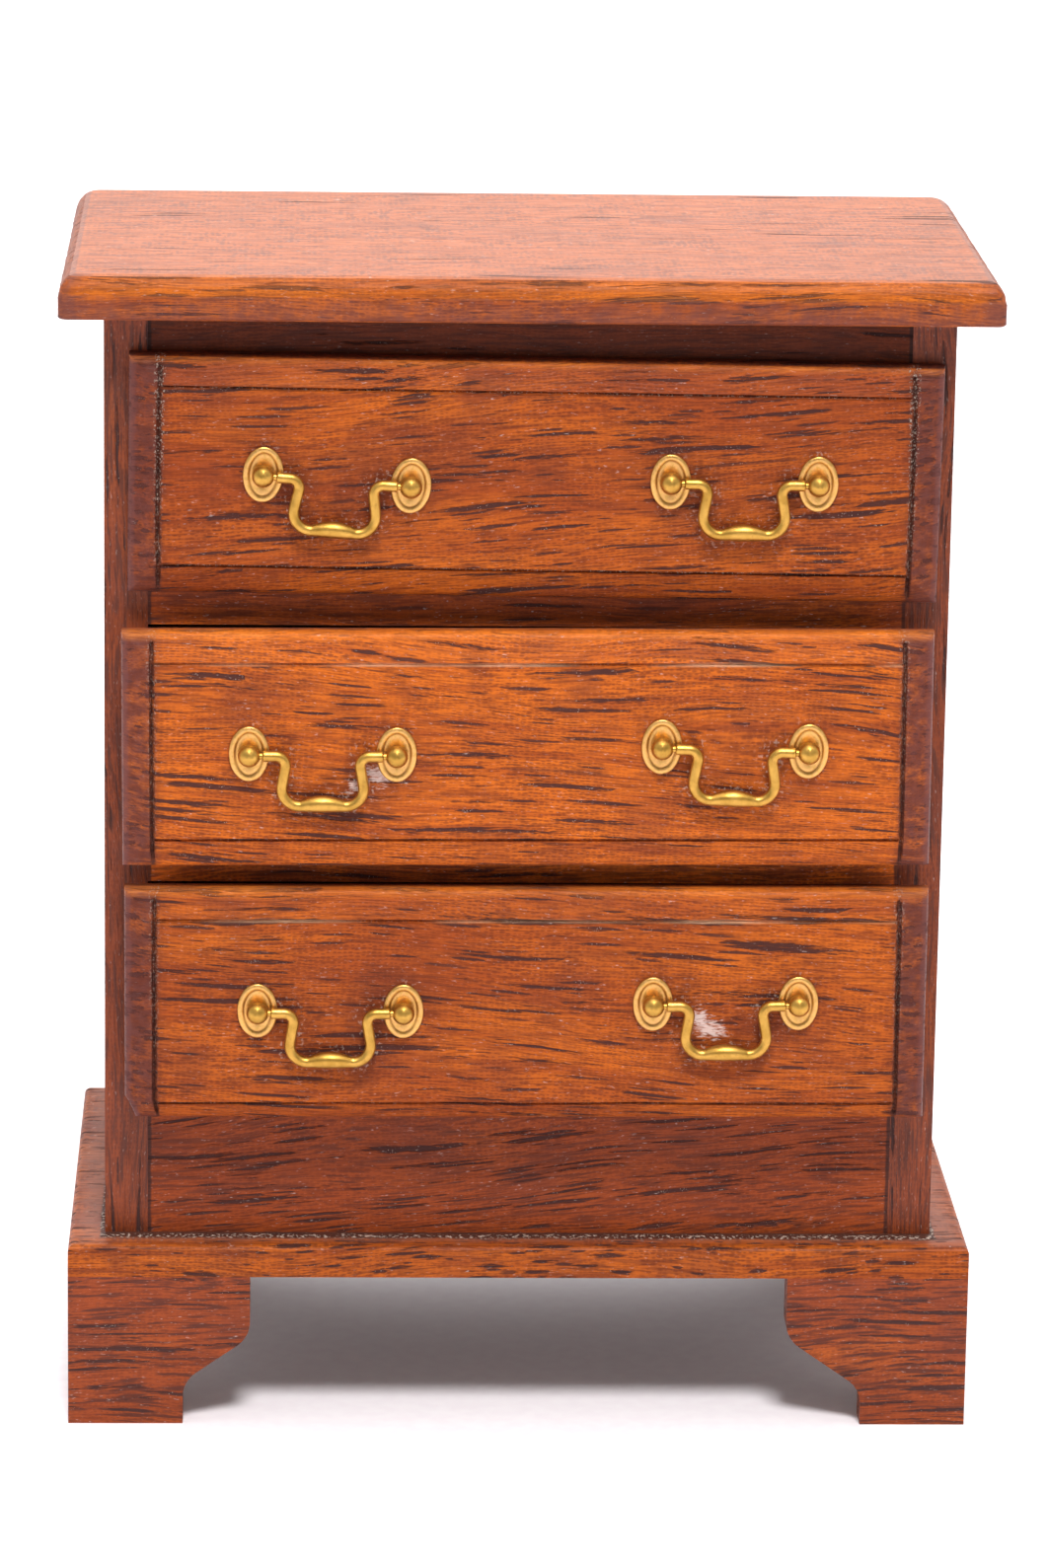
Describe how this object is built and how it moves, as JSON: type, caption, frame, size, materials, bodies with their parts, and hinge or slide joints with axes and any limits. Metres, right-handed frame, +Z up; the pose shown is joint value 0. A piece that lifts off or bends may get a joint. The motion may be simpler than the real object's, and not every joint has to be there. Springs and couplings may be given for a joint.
{
  "type": "miniature chest of drawers",
  "caption": "Dolls-house chest with sliding drawers behind lipped, fielded fronts, swinging brass bail handles, a moulded top and bracket feet.",
  "frame": {"origin": "on the surface the chest stands on, under the middle of its width and of its whole depth, handles included", "axes": "+X to the right seen from the front, +Y from the front to the back, +Z up"},
  "size_m": [0.06, 0.0392, 0.0762],
  "materials": {
    "mahogany_top": "satin varnish, grain across the chest",
    "mahogany_front": "satin varnish, grain across the chest",
    "mahogany_case": "satin varnish, grain up the sides and along the rails",
    "mahogany_base": "satin varnish, grain along each piece",
    "drawer_wood": "bare, sanded",
    "panel_wood": "bare, sanded",
    "brass": "cast and polished, slightly tarnished in the hollows"
  },
  "bodies": {
    "case": {"top_board": "mahogany_top", "left_side_panel": "mahogany_case", "right_side_panel": "mahogany_case", "back_panel": "panel_wood", "top_rail": "mahogany_case", "upper_divider": "mahogany_case", "lower_divider": "mahogany_case", "bottom_rail": "mahogany_case", "base_board": "mahogany_base", "foot_glue_blocks": "drawer_wood", "upper_left_runner": "drawer_wood", "upper_right_runner": "drawer_wood", "middle_left_runner": "drawer_wood", "middle_right_runner": "drawer_wood", "lower_left_runner": "drawer_wood", "lower_right_runner": "drawer_wood", "front_left_bracket_across": "mahogany_base", "front_left_bracket_along": "mahogany_base", "front_right_bracket_across": "mahogany_base", "front_right_bracket_along": "mahogany_base", "rear_left_bracket_across": "mahogany_base", "rear_left_bracket_along": "mahogany_base", "rear_right_bracket_across": "mahogany_base", "rear_right_bracket_along": "mahogany_base"},
    "upper_drawer": {"upper_drawer_front": "mahogany_front", "upper_drawer_left_side": "drawer_wood", "upper_drawer_right_side": "drawer_wood", "upper_drawer_back": "drawer_wood", "upper_drawer_bottom": "panel_wood", "upper_left_rosettes": "brass", "upper_left_posts": "brass", "upper_right_rosettes": "brass", "upper_right_posts": "brass"},
    "middle_drawer": {"middle_drawer_front": "mahogany_front", "middle_drawer_left_side": "drawer_wood", "middle_drawer_right_side": "drawer_wood", "middle_drawer_back": "drawer_wood", "middle_drawer_bottom": "panel_wood", "middle_left_rosettes": "brass", "middle_left_posts": "brass", "middle_right_rosettes": "brass", "middle_right_posts": "brass"},
    "lower_drawer": {"lower_drawer_front": "mahogany_front", "lower_drawer_left_side": "drawer_wood", "lower_drawer_right_side": "drawer_wood", "lower_drawer_back": "drawer_wood", "lower_drawer_bottom": "panel_wood", "lower_left_rosettes": "brass", "lower_left_posts": "brass", "lower_right_rosettes": "brass", "lower_right_posts": "brass"},
    "upper_left_bail": {"upper_left_bail": "brass"},
    "upper_right_bail": {"upper_right_bail": "brass"},
    "middle_left_bail": {"middle_left_bail": "brass"},
    "middle_right_bail": {"middle_right_bail": "brass"},
    "lower_left_bail": {"lower_left_bail": "brass"},
    "lower_right_bail": {"lower_right_bail": "brass"}
  },
  "joints": [
    {"name": "upper_drawer_slide", "type": "slide", "parent": "case", "child": "upper_drawer", "axis": [0, -1, 0], "range_m": [-0.00025, 0.0237]},
    {"name": "middle_drawer_slide", "type": "slide", "parent": "case", "child": "middle_drawer", "axis": [0, -1, 0], "range_m": [-0.00295, 0.021]},
    {"name": "lower_drawer_slide", "type": "slide", "parent": "case", "child": "lower_drawer", "axis": [0, -1, 0], "range_m": [-0.00245, 0.0215]},
    {"name": "upper_left_bail_swing", "type": "hinge", "parent": "upper_drawer", "child": "upper_left_bail", "pos_m": [-0.0123, -0.01622, 0.06313], "axis": [-0.9976, 0, 0.0698], "range_deg": [-3, 176]},
    {"name": "upper_right_bail_swing", "type": "hinge", "parent": "upper_drawer", "child": "upper_right_bail", "pos_m": [0.0136, -0.01622, 0.06313], "axis": [-1, 0, 0.0087], "range_deg": [-3, 176]},
    {"name": "middle_left_bail_swing", "type": "hinge", "parent": "middle_drawer", "child": "middle_left_bail", "pos_m": [-0.0131, -0.01892, 0.04587], "axis": [-1, 0, 0], "range_deg": [-3, 176]},
    {"name": "middle_right_bail_swing", "type": "hinge", "parent": "middle_drawer", "child": "middle_right_bail", "pos_m": [0.0132, -0.01892, 0.04637], "axis": [-0.9997, 0, 0.0262], "range_deg": [-3, 176]},
    {"name": "lower_left_bail_swing", "type": "hinge", "parent": "lower_drawer", "child": "lower_left_bail", "pos_m": [-0.0125, -0.01842, 0.02873], "axis": [-1, 0, 0], "range_deg": [-3, 176]},
    {"name": "lower_right_bail_swing", "type": "hinge", "parent": "lower_drawer", "child": "lower_right_bail", "pos_m": [0.013, -0.01842, 0.02933], "axis": [-1, 0, -0.0087], "range_deg": [-3, 176]}
  ]
}
